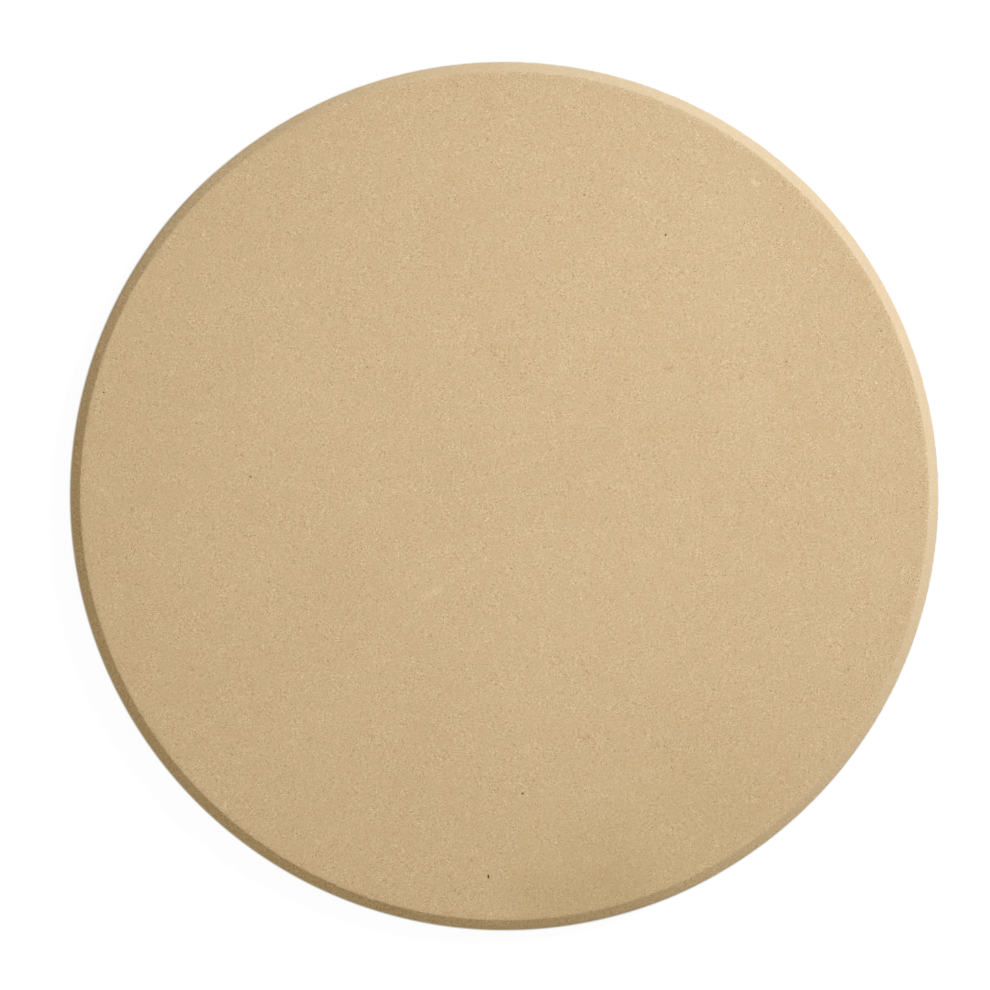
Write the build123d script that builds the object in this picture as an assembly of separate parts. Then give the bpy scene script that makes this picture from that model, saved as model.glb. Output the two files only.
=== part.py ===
"""Round pizza stone: one flat slab of pressed, fired cordierite with a bevelled upper edge.

The slab lies on its flat base. The origin is the centre of the base, +Z is up through the baking face,
and the slab is round about Z. Lengths are in millimetres.
"""

from build123d import *

import os

# The slab.
stone_diameter = 380.0
stone_thickness = 15.0

# Bevel round the baking face. The die leaves it at about 45 degrees, so its two legs are near equal.
bevel_width = 4.6
bevel_height = 4.6

# Smaller chamfer round the base, which keeps the lower edge from chipping on an oven rack.
base_chamfer_width = 2.0
base_chamfer_height = 2.0

# Radii that rub off each arris of the pressed blank before firing.
baking_arris_radius = 1.0
rim_arris_radius = 1.5
base_arris_radius = 0.6


def corner_points():
    """Sharp corners of the half section, from the centre of the base out and up to the baking face."""
    outer = stone_diameter / 2
    return {
        "base_centre": (0, 0),
        "base_edge": (outer - base_chamfer_width, 0),
        "wall_foot": (outer, base_chamfer_height),
        "wall_head": (outer, stone_thickness - bevel_height),
        "baking_edge": (outer - bevel_width, stone_thickness),
        "baking_centre": (0, stone_thickness),
    }


def half_section():
    """Half section of the slab in the XZ plane, with its four arrises rounded."""
    corners = corner_points()
    radius_at = {
        "base_edge": base_arris_radius,
        "wall_foot": base_arris_radius,
        "wall_head": rim_arris_radius,
        "baking_edge": baking_arris_radius,
    }
    with BuildSketch(Plane.XZ) as section:
        with BuildLine():
            Polyline(*corners.values(), close=True)
        make_face()
        for name, radius in radius_at.items():
            sharp_corner = section.vertices().sort_by_distance(Vector(*corners[name]))[0]
            fillet(sharp_corner, radius)
    return section.sketch


def stone():
    """The whole slab: the half section turned once about Z."""
    return revolve(half_section(), Axis.Z)


def main():
    os.makedirs("parts", exist_ok=True)
    slab = stone()
    slab.label = "stone"
    export_step(slab, "parts/stone.step")


main()
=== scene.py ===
"""Round pizza stone of pressed, fired cordierite, seen straight from above on a pale table."""

import random
from math import atan, ceil, cos, hypot, pi, radians, sin, sqrt, tan

import bmesh
import bpy
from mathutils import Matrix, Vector


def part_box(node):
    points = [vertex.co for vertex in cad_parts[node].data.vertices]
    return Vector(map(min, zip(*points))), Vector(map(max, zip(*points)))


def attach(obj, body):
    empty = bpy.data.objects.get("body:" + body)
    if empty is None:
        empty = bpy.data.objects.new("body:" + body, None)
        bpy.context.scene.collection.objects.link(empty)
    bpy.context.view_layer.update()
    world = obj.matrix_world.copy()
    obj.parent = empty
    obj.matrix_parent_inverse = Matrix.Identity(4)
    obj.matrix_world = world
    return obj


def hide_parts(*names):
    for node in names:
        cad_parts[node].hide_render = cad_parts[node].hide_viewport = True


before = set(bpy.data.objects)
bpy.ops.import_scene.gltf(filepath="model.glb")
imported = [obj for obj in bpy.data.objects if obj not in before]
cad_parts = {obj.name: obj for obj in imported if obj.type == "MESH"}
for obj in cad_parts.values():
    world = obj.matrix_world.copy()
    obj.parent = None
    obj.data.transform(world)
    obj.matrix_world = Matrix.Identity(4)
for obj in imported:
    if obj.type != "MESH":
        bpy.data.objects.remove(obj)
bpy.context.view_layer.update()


# The slab. Damp cordierite clay is pressed in a round steel die, dried and fired, so the slab is one
# piece with flat faces. The die leaves a 45 degree bevel round the baking face and a small chamfer
# round the base, and handling the dry blank rubs every arris slightly round.
_, slab_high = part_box("stone")
slab_radius = slab_high.x
slab_thickness = slab_high.z
bevel_leg = 0.0046
bevel_tilt = radians(45)
base_chamfer_leg = 0.0020
baking_arris_radius = 0.0010
rim_arris_radius = 0.0015
base_arris_radius = 0.0006
arrises = (
    (slab_radius - bevel_leg, slab_thickness, baking_arris_radius),
    (slab_radius, slab_thickness - bevel_leg, rim_arris_radius),
    (slab_radius, base_chamfer_leg, base_arris_radius),
    (slab_radius - base_chamfer_leg, 0, base_arris_radius),
)
arris_turn = radians(45)
arris_steps = 3
turned_strip = 0.012
row_height = 0.0009
steps_in_quarter = 300
core_gap = 0.008
core_steps = 240
hair = 1e-5
merge_distance = 1e-6


def same(a, b):
    """True where two lengths are equal to within a hair."""
    return abs(a - b) < hair


def radius_of(vertex):
    """Distance of a vertex from the slab's axis."""
    return hypot(vertex.co.x, vertex.co.y)


def select(kind, wanted):
    """In edit mode, selects only the vertices, edges or faces for which wanted(item) is true."""
    bpy.ops.mesh.select_mode(type={"verts": "VERT", "edges": "EDGE", "faces": "FACE"}[kind])
    bpy.ops.mesh.select_all(action="DESELECT")
    mesh = bmesh.from_edit_mesh(bpy.context.object.data)
    for item in getattr(mesh, kind):
        if wanted(item):
            item.select_set(True)
    bmesh.update_edit_mesh(bpy.context.object.data)


def cut_corner(radius_out, height, offset, steps):
    """Cuts the section's corner at that place back by offset, in that many steps."""
    select("verts", lambda v: same(v.co.x, radius_out) and same(v.co.z, height))
    bpy.ops.mesh.bevel(affect="VERTICES", offset=offset, segments=steps, profile=0.5)


bpy.ops.object.select_all(action="DESELECT")
bpy.ops.mesh.primitive_plane_add(
    size=1, rotation=(pi / 2, 0, 0), location=(slab_radius - turned_strip / 2, 0, slab_thickness / 2))
stone = bpy.context.object
stone.name = "cordierite_slab"
stone.scale = (turned_strip, slab_thickness, 1)
bpy.ops.object.transform_apply(location=True, rotation=True, scale=True)
bpy.ops.object.mode_set(mode="EDIT")
inner_radius = slab_radius - turned_strip
select("edges", lambda e: all(same(v.co.x, inner_radius) for v in e.verts))
bpy.ops.mesh.delete(type="EDGE")
cut_corner(slab_radius, slab_thickness, bevel_leg, 1)
cut_corner(slab_radius, 0, base_chamfer_leg, 1)
for radius_out, height, arris_radius in arrises:
    cut_corner(radius_out, height, arris_radius * tan(arris_turn / 2), arris_steps)

# The section is cut into rows, turned through a quarter and mirrored twice.
for cuts in range(ceil(turned_strip / row_height), 0, -1):
    select("edges", lambda e: ceil(e.calc_length() / row_height) - 1 == cuts)
    bpy.ops.mesh.subdivide(number_cuts=cuts)
bpy.ops.mesh.select_all(action="SELECT")
bpy.ops.mesh.spin(steps=steps_in_quarter, angle=pi / 2, center=(0, 0, 0), axis=(0, 0, -1))
for direction in ("POSITIVE_X", "POSITIVE_Y"):
    bpy.ops.mesh.select_all(action="SELECT")
    bpy.ops.mesh.symmetrize(direction=direction)
bpy.ops.mesh.select_all(action="SELECT")
bpy.ops.mesh.remove_doubles(threshold=merge_distance)

# The flat middles need fewer faces than the rim. The base's is a copy of the baking face's, turned over.
core_radius = inner_radius - core_gap
bpy.ops.mesh.primitive_circle_add(vertices=core_steps, radius=core_radius, location=(0, 0, slab_thickness))
select("edges", lambda e: all(
    same(v.co.z, slab_thickness) and (same(radius_of(v), inner_radius) or same(radius_of(v), core_radius))
    for v in e.verts))
bpy.ops.mesh.bridge_edge_loops()
select("edges", lambda e: all(
    same(v.co.z, slab_thickness) and same(radius_of(v), core_radius) for v in e.verts))
bpy.ops.mesh.fill_grid(span=core_steps // 4)
select("faces", lambda f: all(
    same(v.co.z, slab_thickness) and radius_of(v) < inner_radius + merge_distance for v in f.verts))
bpy.ops.mesh.duplicate()
bpy.ops.transform.translate(value=(0, 0, -slab_thickness))
bpy.ops.mesh.flip_normals()
bpy.ops.mesh.select_all(action="SELECT")
bpy.ops.mesh.remove_doubles(threshold=merge_distance)
bpy.ops.mesh.normals_make_consistent(inside=False)
bpy.ops.object.mode_set(mode="OBJECT")

# Pressed clay is never quite true. The faces wave by a few hundredths of a millimetre, the rim by a
# tenth, and single grains are missing from the arrises. All of it is taken off the blank, never added.
arris_reach = 0.0012
rim_fade = 0.0020
face_wave_size = 0.045
face_wave_depth = 0.00006
rim_wave_size = 0.0032
rim_wave_depth = 0.00018
lost_grain_size = 0.0011
lost_grain_depth = 0.00040
lost_grain_contrast = 2.6
lost_grain_brightness = 0.30


def everywhere(vertex):
    """1 on the whole slab."""
    return 1.0


def rim_share(vertex):
    """1 on the bevel, the wall and the chamfer, falling to 0 just inside them."""
    return min(1.0, max(0.0, (radius_of(vertex) - slab_radius + bevel_leg + rim_fade) / rim_fade))


def arris_share(vertex):
    """1 on an arris, falling to 0 at arris_reach from it."""
    nearest = min(
        hypot(radius_of(vertex) - radius_out, vertex.co.z - height) for radius_out, height, _ in arrises)
    return max(0.0, 1.0 - nearest / arris_reach)


def wear_down(name, share, wave_size, depth, contrast=1.0, brightness=1.0):
    """Takes up to depth off the slab, in waves of that size, where share(vertex) is above 0."""
    group = stone.vertex_groups.new(name=name)
    for vertex in stone.data.vertices:
        part = share(vertex)
        if part > 0:
            group.add([vertex.index], part, "REPLACE")
    waves = bpy.data.textures.new(name, "CLOUDS")
    waves.noise_scale = wave_size
    waves.noise_depth = 2
    waves.contrast = contrast
    waves.intensity = brightness
    waves.use_clamp = True
    relief = stone.modifiers.new(name, "DISPLACE")
    relief.texture = waves
    relief.texture_coords = "LOCAL"
    relief.vertex_group = name
    relief.mid_level = 0.0
    relief.strength = -depth
    bpy.ops.object.modifier_apply(modifier=name)


wear_down("face_waves", everywhere, face_wave_size, face_wave_depth)
wear_down("rim_waves", rim_share, rim_wave_size, rim_wave_depth)
wear_down(
    "lost_grains", arris_share, lost_grain_size, lost_grain_depth, lost_grain_contrast, lost_grain_brightness)


# Pinholes. Gas bubbles and single iron-bearing grains in the clay leave small open pits when the slab
# is fired. The iron ones melt and stay dark brown. They lie all through the slab, in every face.
millimetre = 0.001
filled_pit_slope = radians(60)
open_pit_slope = radians(84)
long_pit = 0.00035

# Some show in the photograph. photo_centre is the pixel at the slab's centre. Each seen pit has its pixel,
# half its width and half its length in millimetres, and whether iron fills it.
photo_centre = (504.1, 495.2)
metres_per_pixel = 0.0004365
seen_pits = (
    (665, 234.5, 0.42, 0.62, True),
    (522, 793, 0.54, 0.48, True),
    (487.8, 876, 0.46, 0.95, True),
    (249.6, 476.5, 0.50, 0.46, False),
    (511, 568, 0.34, 0.34, True),
    (258, 741, 0.30, 0.30, True),
    (103, 392, 0.38, 0.38, True),
    (786, 361, 0.40, 0.38, True),
    (287, 232, 0.36, 0.36, False),
    (679, 325, 0.28, 0.28, True),
    (398, 592, 0.34, 0.34, False),
    (116, 358, 0.28, 0.28, True),
    (682, 358, 0.26, 0.26, True),
    (583.7, 194.5, 0.42, 0.42, True),
    (589, 196.5, 0.30, 0.28, True),
    (143, 357, 0.32, 0.32, False),
    (490, 513, 0.26, 0.26, True),
    (716.5, 192, 0.30, 0.36, False),
    (549, 405, 0.26, 0.26, True),
    (425, 522, 0.32, 0.32, False),
    (614, 750, 0.32, 0.32, False),
    (573, 276, 0.34, 0.34, False),
    (509, 94, 0.32, 0.32, False),
)

# The rest are strewn at random. A pair holds the least and the most of what is drawn for each pit.
pit_seed = 11
strewn_on_top = 46
strewn_on_base = 40
strewn_margin = 0.003
strewn_half_width = (0.00014, 0.00024)
strewn_stretch = (0.8, 1.5)
strewn_iron_share = 0.5
strewn_on_rim = 34
rim_half_width = (0.00016, 0.00032)
rim_iron_share = 0.4
bevel_share_of_rim = 0.45
down_the_bevel = (0.2, 0.8)
up_the_wall = (0.003, 0.0095)

clay = bpy.data.materials.new("fired_cordierite")
iron_spot = bpy.data.materials.new("melted_iron_spot")
pit_cutter = bpy.data.objects.new("pit_cutter", bpy.data.meshes.new("pit_cutter"))
for owner in (stone, pit_cutter):
    owner.data.materials.append(clay)
    owner.data.materials.append(iron_spot)

bpy.context.collection.objects.link(pit_cutter)
bpy.ops.object.select_all(action="DESELECT")
bpy.context.view_layer.objects.active = pit_cutter
bpy.ops.object.mode_set(mode="EDIT")
chance = random.Random(pit_seed)


def press_pit(place, outward, half_width, half_length, iron):
    """Adds a ball that cuts a bowl of that mouth there, shallow where molten iron has filled it.

    A long pit shows, so its ball is a finer one.
    """
    wall_slope = filled_pit_slope if iron else open_pit_slope
    ball_radius = half_width / sin(wall_slope)
    bpy.ops.mesh.primitive_ico_sphere_add(
        subdivisions=3 if half_length > long_pit else 2,
        radius=ball_radius,
        location=Vector(place) + Vector(outward) * ball_radius * cos(wall_slope),
        scale=(1, half_length / half_width, 1))
    bpy.context.object.active_material_index = 1 if iron else 0
    bpy.ops.object.material_slot_assign()


def on_top(column, line):
    """The point of the baking face that shows at that pixel of the photograph."""
    return Vector((
        (column - photo_centre[0]) * metres_per_pixel,
        (photo_centre[1] - line) * metres_per_pixel,
        slab_thickness))


for column, line, half_width, half_length, iron in seen_pits:
    press_pit(on_top(column, line), (0, 0, 1), half_width * millimetre, half_length * millimetre, iron)
for count, height, outward in ((strewn_on_top, slab_thickness, 1), (strewn_on_base, 0, -1)):
    for _ in range(count):
        away = (slab_radius - bevel_leg - strewn_margin) * sqrt(chance.random())
        turn = chance.uniform(0, 2 * pi)
        half_width = chance.uniform(*strewn_half_width)
        half_length = half_width * chance.uniform(*strewn_stretch)
        iron = chance.random() < strewn_iron_share
        place = (away * cos(turn), away * sin(turn), height)
        press_pit(place, (0, 0, outward), half_width, half_length, iron)
for _ in range(strewn_on_rim):
    turn = chance.uniform(0, 2 * pi)
    if chance.random() < bevel_share_of_rim:
        down = chance.uniform(*down_the_bevel) * bevel_leg
        away, height, tilt = slab_radius - bevel_leg + down, slab_thickness - down, bevel_tilt
    else:
        away, height, tilt = slab_radius, chance.uniform(*up_the_wall), 0
    outward = (cos(tilt) * cos(turn), cos(tilt) * sin(turn), sin(tilt))
    half_width = chance.uniform(*rim_half_width)
    iron = chance.random() < rim_iron_share
    press_pit((away * cos(turn), away * sin(turn), height), outward, half_width, half_width, iron)
bpy.ops.object.mode_set(mode="OBJECT")

crease_angle = radians(32)
bpy.ops.object.select_all(action="DESELECT")
stone.select_set(True)
bpy.context.view_layer.objects.active = stone
pits = stone.modifiers.new("pits", "BOOLEAN")
pits.operation = "DIFFERENCE"
pits.solver = "MANIFOLD"
pits.object = pit_cutter
bpy.ops.object.modifier_apply(modifier="pits")
bpy.data.objects.remove(pit_cutter)
bpy.ops.object.shade_smooth_by_angle(angle=crease_angle)


# The flat map that the finish is baked on. The baking face, bevel, wall and chamfer are laid out as one
# disc, and the base as a smaller one beside it.
top_disc_centre = 0.388
top_disc_radius = 0.380
base_disc_centre = 0.804
base_disc_radius = 0.188
flat_margin = 0.0008
base_margin = 0.0002
base_skin = 0.0012
wall_height = slab_thickness - bevel_leg - base_chamfer_leg
unrolled_radius = slab_radius - bevel_leg + wall_height + sqrt(2) * (bevel_leg + base_chamfer_leg)


def unrolled(point):
    """Distance from the baking face's centre to that point of the slab, along its surface."""
    away = hypot(point.x, point.y)
    if away < slab_radius - bevel_leg - flat_margin:
        return away
    drop = max(0.0, slab_thickness - point.z)
    on_bevel = min(drop, bevel_leg)
    on_chamfer = max(0.0, drop - slab_thickness + base_chamfer_leg)
    on_wall = drop - on_bevel - on_chamfer
    return min(away, slab_radius - bevel_leg) + on_wall + sqrt(2) * (on_bevel + on_chamfer)


bake_map = stone.data.uv_layers.new(name="OFBake")
for face in stone.data.polygons:
    inside_chamfer = hypot(face.center.x, face.center.y) < slab_radius - base_chamfer_leg - base_margin
    on_base = inside_chamfer and face.center.z < base_skin
    for corner in face.loop_indices:
        point = stone.data.vertices[stone.data.loops[corner].vertex_index].co
        if on_base:
            spread = base_disc_radius / slab_radius
            centre = base_disc_centre
        else:
            away = max(hypot(point.x, point.y), hair)
            spread = unrolled(point) / away * top_disc_radius / unrolled_radius
            centre = top_disc_centre
        bake_map.data[corner].uv = (centre + point.x * spread, centre + point.y * spread)


# The fired clay. It is a sandy tan body of grains about a fifth of a millimetre across, a few of them
# cream or dark brown, with faint clouds where the clay was pressed more or less densely. It is matt and
# dry. On the rim, painted light and shade make the grain faint on the side lit by the soft box and strong on
# the shaded side.
clay_colour = (0.609, 0.4335, 0.2457)
darkest_clay = (0.060, 0.035, 0.015)
grain_shift = (0.480, 0.470, 0.350)
grains_per_metre = 4900
grain_contrast = 1.96
grain_levels = (
    (0.000, 0.00), (0.006, 0.14), (0.04, 0.345), (0.20, 0.447),
    (0.50, 0.50), (0.80, 0.557), (0.95, 0.652), (1.00, 0.80),
)
ragged_per_metre = 1500.0
ragged_reach = 0.0005
patches_per_metre = 180.0
patch_depth = 0.045
patch_extent = 0.2
dullest_grain = 0.6
clearest_grain = 1.4
cloud_sizes = ((42.0, 0.06), (9.0, 0.07))
hue_shift = (0.012, -0.007, -0.006)
hues_per_metre = 120.0


def put(tree, kind, inputs=None, **settings):
    """Adds a node, sets it up, and fills its sockets with values or with other nodes' outputs."""
    made = tree.nodes.new(kind)
    for name, value in settings.items():
        setattr(made, name, value)
    for socket, value in (inputs or {}).items():
        if isinstance(value, bpy.types.NodeSocket):
            tree.links.new(value, made.inputs[socket])
        else:
            made.inputs[socket].default_value = value
    return made


def reckon(tree, operation, *values):
    """The output of a Math node on those values."""
    return put(tree, "ShaderNodeMath", dict(enumerate(values)), operation=operation).outputs[0]


def on_vectors(tree, operation, *values):
    """The first output of a Vector Math node on those vectors."""
    return put(tree, "ShaderNodeVectorMath", dict(enumerate(values)), operation=operation).outputs[0]


def mapped(tree, value, low, high, to_low, to_high):
    """The value moved from one range to another, smoothly and held at both ends."""
    return put(tree, "ShaderNodeMapRange", {
        "Value": value, "From Min": low, "From Max": high, "To Min": to_low, "To Max": to_high,
    }, interpolation_type="SMOOTHSTEP").outputs["Result"]


def blended(tree, share, first, second):
    """The first colour, turning into the second as the share goes from 0 to 1."""
    # The Mix node's colour sockets are its inputs 6 and 7 and its output 2.
    return put(tree, "ShaderNodeMix", {0: share, 6: first, 7: second}, data_type="RGBA").outputs[2]


def ramp(tree, value, stops):
    """A ColorRamp of grey stops, each a place and a level."""
    made = put(tree, "ShaderNodeValToRGB", {"Fac": value})
    elements = made.color_ramp.elements
    while len(elements) < len(stops):
        elements.new(0.5)
    for element, (place, level) in zip(elements, stops):
        element.position = place
        element.color = (level, level, level, 1)
    return made.outputs["Color"]


def noise(tree, place, per_metre, detail=2.0):
    """Cloudy noise around 0, between about -0.5 and 0.5."""
    made = put(tree, "ShaderNodeTexNoise", {"Vector": place, "Scale": per_metre, "Detail": detail})
    return reckon(tree, "SUBTRACT", made.outputs["Fac"], 0.5)


def jittered(tree, place, per_metre, reach):
    """The place moved about by noise, so that a shape drawn on it has an uneven edge."""
    shift = put(tree, "ShaderNodeTexNoise", {"Vector": place, "Scale": per_metre, "Detail": 1.0})
    shift = on_vectors(tree, "SUBTRACT", shift.outputs["Color"], (0.5, 0.5, 0.5))
    return on_vectors(tree, "MULTIPLY_ADD", shift, (reach, reach, reach), place)


clay.use_nodes = True
tree = clay.node_tree
shader = tree.nodes["Principled BSDF"]
place = put(tree, "ShaderNodeTexCoord").outputs["Object"]

ragged_place = jittered(tree, place, ragged_per_metre, ragged_reach)
grains = put(tree, "ShaderNodeTexVoronoi", {"Vector": ragged_place, "Scale": grains_per_metre})
grain_draw = put(tree, "ShaderNodeSeparateColor", {"Color": grains.outputs["Color"]})
grain_tone = reckon(tree, "SUBTRACT", ramp(tree, grain_draw.outputs["Red"], grain_levels), 0.5)
patches = noise(tree, place, patches_per_metre)
clearness = mapped(tree, patches, -patch_extent, patch_extent, dullest_grain, clearest_grain)
tone = reckon(tree, "MULTIPLY", reckon(tree, "MULTIPLY", grain_tone, grain_contrast), clearness)

# About a thousand larger flecks of iron ore on each face are brown, most of them only faintly.
flecks_per_metre = 700
fleck_radius = 0.00031
fleck_core = 0.6
fleck_share = 0.055
fleck_darkness = 0.90
fleck_fade = 2.0
fleck_reach = fleck_radius * flecks_per_metre
flecks = put(tree, "ShaderNodeTexVoronoi", {"Vector": ragged_place, "Scale": flecks_per_metre})
fleck_draw = put(tree, "ShaderNodeSeparateColor", {"Color": flecks.outputs["Color"]}).outputs["Red"]
fleck = mapped(tree, flecks.outputs["Distance"], fleck_core * fleck_reach, fleck_reach, 1.0, 0.0)
browning = reckon(tree, "POWER", mapped(tree, fleck_draw, 0.0, fleck_share, 1.0, 0.0), fleck_fade)
tone = reckon(tree, "MULTIPLY_ADD", reckon(tree, "MULTIPLY", fleck, browning), -fleck_darkness, tone)

# Painted light and shade on the rim: its grain is drawn faint on the side lit by the soft box and strong
# on the shaded side, as raking light and shade would show it.
lit_side_direction = radians(38)
lit_side_grain = 0.37
shaded_side_grain = 1.58
shaded_side_until = -0.60
lit_side_from = 0.82
rim_edge_blur = 0.0004
bevel_start = slab_radius - bevel_leg
flat_place = on_vectors(tree, "MULTIPLY", place, (1, 1, 0))
away = put(tree, "ShaderNodeVectorMath", {0: flat_place}, operation="LENGTH").outputs["Value"]
on_rim = mapped(tree, away, bevel_start - rim_edge_blur, bevel_start + rim_edge_blur, 0.0, 1.0)
towards_lit_side = put(tree, "ShaderNodeVectorMath", {
    0: flat_place, 1: (cos(lit_side_direction) / slab_radius, sin(lit_side_direction) / slab_radius, 0),
}, operation="DOT_PRODUCT").outputs["Value"]
rim_grain = mapped(tree, towards_lit_side, shaded_side_until, lit_side_from, shaded_side_grain, lit_side_grain)
rim_grain = reckon(tree, "MULTIPLY_ADD", on_rim, reckon(tree, "SUBTRACT", rim_grain, 1.0), 1.0)
tone = reckon(tree, "MULTIPLY", tone, rim_grain)

# Clouds lie over the whole slab, faintly paler or darker and redder or greener.
tone = reckon(tree, "MULTIPLY_ADD", patches, patch_depth, tone)
for per_metre, depth in cloud_sizes:
    tone = reckon(tree, "MULTIPLY_ADD", noise(tree, place, per_metre), depth, tone)
body = on_vectors(tree, "MULTIPLY_ADD", tone, grain_shift, clay_colour)
body = on_vectors(tree, "MULTIPLY_ADD", noise(tree, place, hues_per_metre, 1.0), hue_shift, body)
body = on_vectors(tree, "MAXIMUM", body, darkest_clay)

# The whole rim is a little cooler than the face, and a painted highlight makes it cooler still towards the
# lit side.
rim_tint_and_painted_highlight = (0.955, 1.000, 1.072)
whole_rim_tint_share = 0.4
highlight_tint_from = 0.35
highlight_tint_until = 0.90
rim_tint_and_highlight_share = mapped(tree, towards_lit_side, highlight_tint_from, highlight_tint_until, whole_rim_tint_share, 1.0)
rim_tint_and_highlight_share = reckon(tree, "MULTIPLY", on_rim, rim_tint_and_highlight_share)
body = blended(tree, rim_tint_and_highlight_share, body, on_vectors(tree, "MULTIPLY", body, rim_tint_and_painted_highlight))

# Faint smudges of pale dust lie on the baking face, and a few of its grains are cream. The other marks
# are painted light and shade: pale clouds towards the upper right, brown and ochre clouds of painted shade
# towards the bottom, and painted shade in the mouths of the open pits. Each mark is a soft stroke between
# two points of the photograph, with half its width in pixels and its strength.
dust_per_metre = 900.0
dust_reach = 0.0016
dust_colour = (0.800, 0.620, 0.430)
dust_strokes = (
    ((752, 181), (756, 184), 4.6, 0.40),
    ((751, 178), (757, 174), 5.5, 0.12),
    ((434, 590), (428, 595), 4.0, 0.24),
    ((438, 589), (424, 597), 7.5, 0.18),
    ((428, 550), (425, 578), 1.6, 0.14),
)
# The small cream strokes are cream grains. The three broad ones are painted light towards the upper right.
cream_and_painted_light_colour = (0.940, 0.800, 0.500)
cream_grains_and_painted_light = (
    ((582, 529.5), (583.5, 529.5), 1.2, 0.50),
    ((875.6, 382), (876.2, 383), 1.2, 0.80),
    ((507, 877), (507.5, 877), 1.2, 0.60),
    ((244, 259), (244.5, 259), 1.2, 0.60),
    ((745, 405), (755, 425), 58, 0.065),
    ((665, 370), (665, 400), 40, 0.040),
    ((715, 160), (745, 300), 110, 0.032),
)
# Painted shade: a broad ochre cloud towards the bottom.
painted_shade_ochre = (0.500, 0.360, 0.105)
painted_shade_ochre_strokes = (
    ((570, 890), (705, 815), 125, 0.11),
)
# Painted shade: small brown spots in the mouths of the open pits, and two broad brown clouds towards the
# bottom.
painted_shade_brown = (0.330, 0.205, 0.090)
painted_shade_strokes = (
    ((249.2, 476), (250, 477), 2.4, 0.66),
    ((548, 905), (617, 891), 62, 0.13),
    ((600, 835), (604, 845), 45, 0.05),
    ((716.5, 191), (716.5, 193), 1.3, 0.60),
    ((425, 521.5), (425, 522.5), 1.4, 0.50),
    ((614, 749.5), (614, 750.5), 1.4, 0.50),
    ((573, 275), (573, 277), 1.8, 0.45),
    ((509, 94), (509.5, 94), 1.4, 0.50),
    ((287, 232), (287.5, 232), 1.4, 0.50),
)
dusty_place = jittered(tree, place, dust_per_metre, dust_reach)


def stroke(tree, place, start, end, half_width):
    """1 on the line from start to end, falling to 0 at half_width from it."""
    along = end - start
    from_start = on_vectors(tree, "SUBTRACT", place, start)
    share = put(tree, "ShaderNodeVectorMath", {
        0: from_start, 1: along / along.length_squared}, operation="DOT_PRODUCT").outputs["Value"]
    share = put(tree, "ShaderNodeClamp", {"Value": share}).outputs["Result"]
    nearest = put(tree, "ShaderNodeVectorMath", {0: along, "Scale": share}, operation="SCALE").outputs[0]
    gap = put(tree, "ShaderNodeVectorMath", {0: from_start, 1: nearest}, operation="DISTANCE")
    return mapped(tree, gap.outputs["Value"], 0.0, half_width, 1.0, 0.0)


for colour, stroke_place, strokes in (
    (dust_colour, dusty_place, dust_strokes),
    (cream_and_painted_light_colour, place, cream_grains_and_painted_light),
    (painted_shade_ochre, place, painted_shade_ochre_strokes),
    (painted_shade_brown, place, painted_shade_strokes),
):
    cover = 0.0
    for start, end, half_width, strength in strokes:
        mark = stroke(tree, stroke_place, on_top(*start), on_top(*end), half_width * metres_per_pixel)
        cover = reckon(tree, "MAXIMUM", reckon(tree, "MULTIPLY", mark, strength), cover)
    body = blended(tree, cover, body, (*colour, 1))
tree.links.new(body, shader.inputs["Base Color"])

# Each grain has a height and a dryness of its own, and the face between them is slightly uneven.
least_roughness = 0.78
roughness_range = 0.16
clay_shine = 0.15
dents_per_metre = 2600.0
dent_depth = 0.00006
grain_height = 0.000010
dryness = reckon(tree, "MULTIPLY_ADD", grain_draw.outputs["Green"], roughness_range, least_roughness)
tree.links.new(dryness, shader.inputs["Roughness"])
shader.inputs["Specular IOR Level"].default_value = clay_shine
relief = reckon(tree, "MULTIPLY", noise(tree, place, dents_per_metre, 1.0), dent_depth)
relief = reckon(tree, "MULTIPLY_ADD", grain_draw.outputs["Blue"], grain_height, relief)
grain_relief = put(tree, "ShaderNodeBump", {"Strength": 1.0, "Distance": 1.0, "Height": relief})
tree.links.new(grain_relief.outputs["Normal"], shader.inputs["Normal"])

# Melted iron spots are dull brown slag with a rough skin.
iron_colour = (0.190, 0.106, 0.030)
slag_per_metre = 4000.0
slag_contrast = 0.8
slag_depth = 0.00004
slag_roughness = 0.70
slag_shine = 0.15
iron_spot.use_nodes = True
tree = iron_spot.node_tree
shader = tree.nodes["Principled BSDF"]
place = put(tree, "ShaderNodeTexCoord").outputs["Object"]
slag = noise(tree, place, slag_per_metre)
slag_colour = put(tree, "ShaderNodeVectorMath", {
    0: iron_colour, "Scale": reckon(tree, "MULTIPLY_ADD", slag, slag_contrast, 1.0)}, operation="SCALE")
tree.links.new(slag_colour.outputs[0], shader.inputs["Base Color"])
slag_skin = put(tree, "ShaderNodeBump", {
    "Strength": 1.0, "Distance": 1.0, "Height": reckon(tree, "MULTIPLY", slag, slag_depth)})
tree.links.new(slag_skin.outputs["Normal"], shader.inputs["Normal"])
shader.inputs["Roughness"].default_value = slag_roughness
shader.inputs["Specular IOR Level"].default_value = slag_shine

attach(stone, "root")
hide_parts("stone")


# The table: a plain white sheet, which sends light back up to the slab's rim. To the camera it is clean
# white paper with the slab's faint shadow, and plain white paint in the dark line round the slab's foot.
# It is clear from below and under the slab, so that the base shows too.
table_size = 6.0
table_paint = (0.55, 0.55, 0.55, 1)
foot_paint = (0.90, 0.87, 0.82, 1)
shadow_paint = (0.11, 0.12, 0.16, 1)
paper_glow = 0.93
foot_line_width = 0.0011
foot_line_fade = 0.0009
clear_margin = 0.0003

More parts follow.
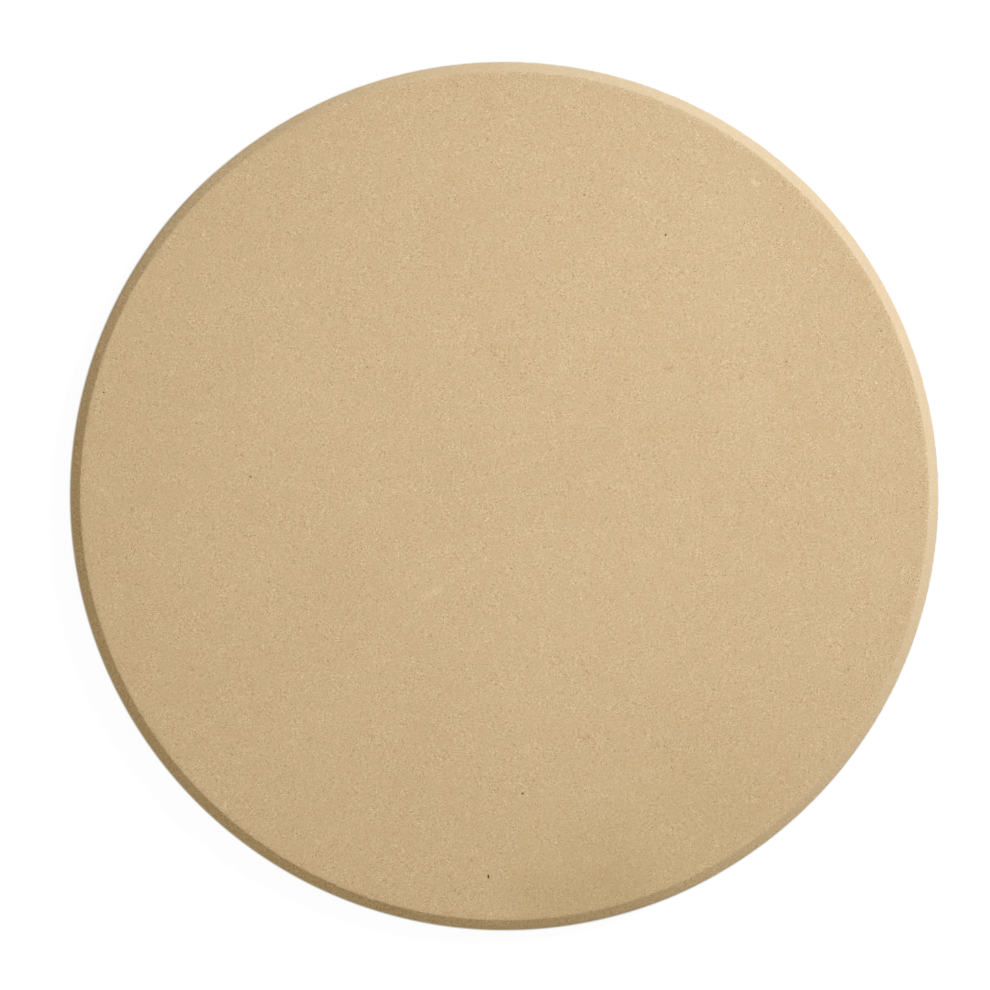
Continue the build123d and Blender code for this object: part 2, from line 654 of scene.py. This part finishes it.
bpy.ops.object.select_all(action="DESELECT")
bpy.ops.mesh.primitive_plane_add(size=table_size, location=(0, 0, 0))
table = bpy.context.object
table.name = "table"
paper = bpy.data.materials.new("white_table")
paper.use_nodes = True
tree = paper.node_tree
tree.nodes.clear()


def watched(tree):
    """1 for the rays that show a thing, to the camera or in gloss or glass, and 0 for plain light."""
    rays = put(tree, "ShaderNodeLightPath")
    either = reckon(tree, "MAXIMUM", rays.outputs["Is Camera Ray"], rays.outputs["Is Glossy Ray"])
    return reckon(tree, "MAXIMUM", either, rays.outputs["Is Transmission Ray"])


def either_shader(tree, share, first, second):
    """The first shader where the share is 0, and the second where it is 1."""
    return put(tree, "ShaderNodeMixShader", {0: share, 1: first.outputs[0], 2: second.outputs[0]})


paint = put(tree, "ShaderNodeBsdfDiffuse", {"Color": table_paint})
foot = put(tree, "ShaderNodeBsdfDiffuse", {"Color": foot_paint})
shadow = put(tree, "ShaderNodeBsdfDiffuse", {"Color": shadow_paint})
glow = put(tree, "ShaderNodeEmission", {"Color": (1, 1, 1, 1), "Strength": paper_glow})
clean = put(tree, "ShaderNodeAddShader", {0: shadow.outputs[0], 1: glow.outputs[0]})
clear = put(tree, "ShaderNodeBsdfTransparent")
table_place = put(tree, "ShaderNodeTexCoord").outputs["Object"]
away = put(tree, "ShaderNodeVectorMath", {0: table_place}, operation="LENGTH").outputs["Value"]
foot_line_end = slab_radius + foot_line_width
past_foot = mapped(tree, away, foot_line_end, foot_line_end + foot_line_fade, 0.0, 1.0)
covered = reckon(tree, "LESS_THAN", away, slab_radius - base_chamfer_leg - clear_margin)
from_below = put(tree, "ShaderNodeNewGeometry").outputs["Backfacing"]
table_look = either_shader(tree, past_foot, foot, clean)
table_look = either_shader(tree, watched(tree), paint, table_look)
table_look = either_shader(tree, reckon(tree, "MAXIMUM", covered, from_below), table_look, clear)
put(tree, "ShaderNodeOutputMaterial", {"Surface": table_look.outputs[0]})
table.data.materials.append(paper)


# The light: one soft box at the upper right of the photograph, and the white room's even light.
room_light = (0.525, 0.488, 0.372, 1)
world = bpy.data.worlds.new("white_room")
bpy.context.scene.world = world
world.use_nodes = True
tree = world.node_tree
tree.nodes.clear()
even = put(tree, "ShaderNodeBackground", {"Color": room_light, "Strength": 1.0})
white = put(tree, "ShaderNodeBackground", {"Color": (1, 1, 1, 1), "Strength": 1.0})
room_look = either_shader(tree, watched(tree), even, white)
put(tree, "ShaderNodeOutputWorld", {"Surface": room_look.outputs[0]})

box_azimuth = radians(35.3)
box_height = radians(36.8)
box_distance = 2.2
box_size = 0.67
box_aim = Vector((0.186, 0.158, slab_thickness))
box_colour = (1.0, 1.134, 1.404)
box_power = 1.347
box_spread_slope = 0.1475
towards_box = Vector((
    cos(box_azimuth) * cos(box_height), sin(box_azimuth) * cos(box_height), sin(box_height)))
bpy.ops.object.light_add(type="AREA", location=box_aim + towards_box * box_distance)
soft_box = bpy.context.object
soft_box.name = "soft_box"
soft_box.rotation_euler = towards_box.to_track_quat("Z", "Y").to_euler()
soft_box.data.shape = "SQUARE"
soft_box.data.size = box_size
soft_box.data.spread = 2 * atan(box_spread_slope)
soft_box.data.color = box_colour
soft_box.data.energy = box_power
soft_box.visible_camera = False


# The camera looks straight down, a little left of the slab's centre, as in the photograph.
camera_place = (-0.0042, 0.0003, 1.6)
camera_lens = 132.05
bpy.ops.object.camera_add(location=camera_place, rotation=(0, 0, 0))
camera = bpy.context.object
camera.name = "camera"
camera.data.lens = camera_lens
bpy.context.scene.camera = camera
bpy.context.scene.view_settings.view_transform = "Standard"
